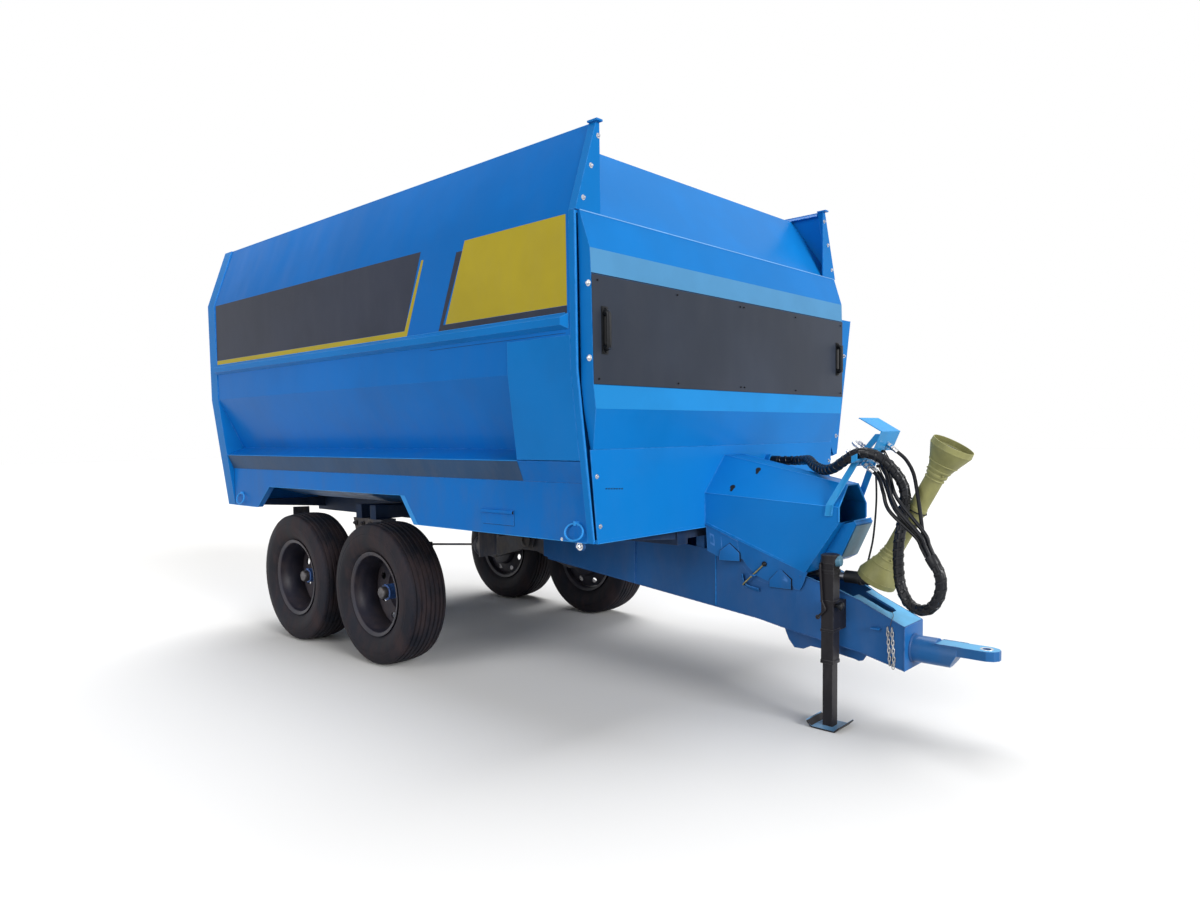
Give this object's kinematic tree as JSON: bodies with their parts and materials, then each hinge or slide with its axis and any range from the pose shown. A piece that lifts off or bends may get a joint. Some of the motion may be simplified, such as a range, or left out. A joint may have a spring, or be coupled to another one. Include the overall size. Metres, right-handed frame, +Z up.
{
  "type": "feed mixer wagon",
  "caption": "towed feed mixer wagon with an open-topped tub, mixing reel and augers, tandem wheels, box drawbar with jack, covered drive and side discharge",
  "frame": {"origin": "on the ground, at the middle of the length and of the width", "axes": "+X forward to the drawbar eye, +Y to the left of the wagon, +Z up"},
  "size_m": [5.998, 3.1949, 3.209],
  "materials": {
    "blue": "gloss paint",
    "panel_black": "satin black paint",
    "running_black": "satin paint",
    "jack_black": "satin black paint",
    "steel": "plain steel",
    "yoke_black": "painted casting",
    "guard_yellow": "moulded plastic",
    "tyre": "worn rubber",
    "wheel_dark": "satin paint",
    "hose_black": "wrapped rubber hose"
  },
  "bodies": {
    "wagon": {"side_wall_right": "blue", "side_wall_left": "blue", "skirt_right": "blue", "skirt_left": "blue", "rub_rail_right": "blue", "rub_rail_left": "blue", "closing_plate_right": "blue", "closing_plate_left": "blue", "tub_floor": "blue", "rear_wall": "blue", "front_wall": "blue", "front_board": "blue", "corner_post_right": "blue", "corner_post_left": "blue", "drive_cover": "blue", "lower_front_panel": "blue", "chassis_frame": "blue", "drawbar": "blue", "tow_eye": "blue", "gearbox_guard": "blue", "document_box": "blue", "hose_rack": "blue", "chute_bracket": "blue", "gearbox": "blue", "rocker_beam_right": "running_black", "rocker_beam_left": "running_black", "hanger_right": "running_black", "hanger_left": "running_black", "jack_body": "jack_black", "input_shaft": "steel", "shaft_yoke": "yoke_black", "tractor_yoke": "yoke_black", "hose_bundle": "hose_black", "hose_line_1": "hose_black", "hose_line_2": "hose_black", "hose_line_3": "hose_black", "hose_line_4": "hose_black", "hose_line_5": "hose_black", "side_hose": "hose_black", "shaft_guard": "guard_yellow"},
    "wheel_front_right": {"tyre_front_right": "tyre", "wheel_front_right": "wheel_dark"},
    "wheel_front_left": {"tyre_front_left": "tyre", "wheel_front_left": "wheel_dark"},
    "wheel_rear_right": {"tyre_rear_right": "tyre", "wheel_rear_right": "wheel_dark"},
    "wheel_rear_left": {"tyre_rear_left": "tyre", "wheel_rear_left": "wheel_dark"},
    "jack_foot": {"jack_leg": "jack_black"},
    "panel": {"service_panel": "panel_black"},
    "door": {"discharge_door": "blue"},
    "chute": {"discharge_chute": "blue"},
    "reel": {"mixing_reel": "steel"},
    "screw_lower": {"auger_lower": "steel"},
    "screw_upper": {"auger_upper": "steel"}
  },
  "joints": [
    {"name": "wheel_front_right_spin", "type": "hinge", "parent": "wagon", "child": "wheel_front_right", "pos_m": [-0.836, -1.277, 0.507], "axis": [0, 1, 0], "continuous": true},
    {"name": "wheel_front_left_spin", "type": "hinge", "parent": "wagon", "child": "wheel_front_left", "pos_m": [-0.836, 0.871, 0.507], "axis": [0, 1, 0], "continuous": true},
    {"name": "wheel_rear_right_spin", "type": "hinge", "parent": "wagon", "child": "wheel_rear_right", "pos_m": [-1.966, -1.277, 0.507], "axis": [0, 1, 0], "continuous": true},
    {"name": "wheel_rear_left_spin", "type": "hinge", "parent": "wagon", "child": "wheel_rear_left", "pos_m": [-1.966, 0.871, 0.507], "axis": [0, 1, 0], "continuous": true},
    {"name": "jack_leg_slide", "type": "slide", "parent": "wagon", "child": "jack_foot", "axis": [0, 0, 1], "range_m": [0, 0.34]},
    {"name": "service_panel_lift", "type": "hinge", "parent": "wagon", "child": "panel", "pos_m": [1.464, -0.203, 2.415], "axis": [0, -1, 0], "range_deg": [0, 85]},
    {"name": "discharge_door_slide", "type": "slide", "parent": "wagon", "child": "door", "axis": [0, 0.1188, 0.9929], "range_m": [0, 0.33]},
    {"name": "discharge_chute_fold", "type": "hinge", "parent": "wagon", "child": "chute", "pos_m": [0.749, 1.297, 1.4], "axis": [-1, 0, 0], "range_deg": [0, 95]},
    {"name": "mixing_reel_spin", "type": "hinge", "parent": "wagon", "child": "reel", "pos_m": [0, 0.047, 1.95], "axis": [1, 0, 0], "continuous": true},
    {"name": "auger_lower_spin", "type": "hinge", "parent": "wagon", "child": "screw_lower", "pos_m": [0, -1.003, 1.64], "axis": [1, 0, 0], "continuous": true},
    {"name": "auger_upper_spin", "type": "hinge", "parent": "wagon", "child": "screw_upper", "pos_m": [0, -1.163, 2.16], "axis": [1, 0, 0], "continuous": true}
  ],
  "couplings": [
    {"joint": "auger_lower_spin", "follows": "mixing_reel_spin", "ratio": -3},
    {"joint": "auger_upper_spin", "follows": "mixing_reel_spin", "ratio": 3}
  ]
}
